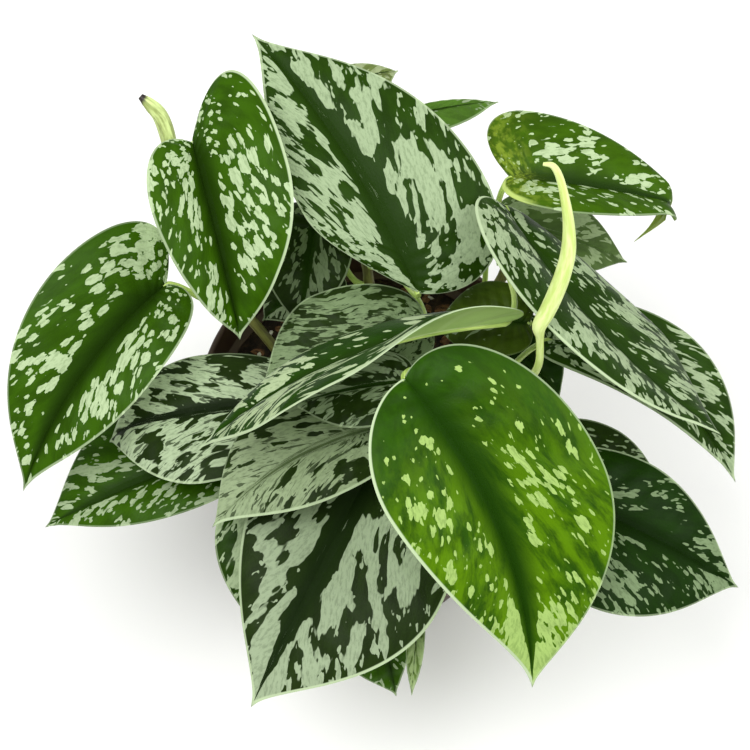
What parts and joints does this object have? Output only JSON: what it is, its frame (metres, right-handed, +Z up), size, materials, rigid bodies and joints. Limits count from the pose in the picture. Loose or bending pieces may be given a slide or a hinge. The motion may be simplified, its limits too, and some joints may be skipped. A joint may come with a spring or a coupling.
{
  "type": "potted silver splash pothos plant",
  "caption": "Bushy potted vine plant with heart-shaped, silver-splashed leaves on slim stalks, in a plain round nursery pot.",
  "frame": {"origin": "centre of the pot's flat base, on the surface that it stands on", "axes": "+Z up along the pot's axis; -Y towards the front of the plant, as the picture's viewer sees it; +X to that viewer's right"},
  "size_m": [0.2384, 0.2177, 0.223],
  "materials": {
    "pot_plastic": "matte dark brown moulded plastic",
    "potting_soil": "crumbly dark potting mix of peat and bark",
    "vine_green": "satin olive-green vine",
    "leaf_green": "satin green leaf splashed with silver, with a thin pale margin",
    "young_leaf_green": "satin yellow-green rolled young leaf"
  },
  "bodies": {
    "root": {"pot": "pot_plastic", "soil": "potting_soil", "stem_back": "vine_green", "stem_left": "vine_green", "stem_right": "vine_green", "stem_front": "vine_green", "stem_front_right": "vine_green", "stem_front_left": "vine_green", "leaf_back_centre": "leaf_green", "leaf_back_left": "leaf_green", "leaf_left": "leaf_green", "leaf_front": "leaf_green", "leaf_front_left": "leaf_green", "leaf_front_left_under": "leaf_green", "leaf_front_low": "leaf_green", "leaf_front_slim": "leaf_green", "leaf_back_right": "leaf_green", "leaf_back_right_under": "leaf_green", "leaf_right": "leaf_green", "leaf_right_under": "leaf_green", "leaf_front_right": "leaf_green", "leaf_front_right_under": "leaf_green", "leaf_mid_left": "leaf_green", "leaf_low_left": "leaf_green", "leaf_inner_front": "leaf_green", "leaf_centre_folded": "leaf_green", "leaf_inner_silver": "leaf_green", "leaf_inner_back_left": "leaf_green", "leaf_inner_left": "leaf_green", "leaf_inner_centre": "leaf_green", "leaf_inner_right": "leaf_green", "leaf_inner_front_right": "leaf_green", "leaf_far_back": "leaf_green", "leaf_far_back_right": "leaf_green", "young_leaf_rolled": "young_leaf_green", "young_shoot_left": "young_leaf_green"}
  },
  "joints": []
}
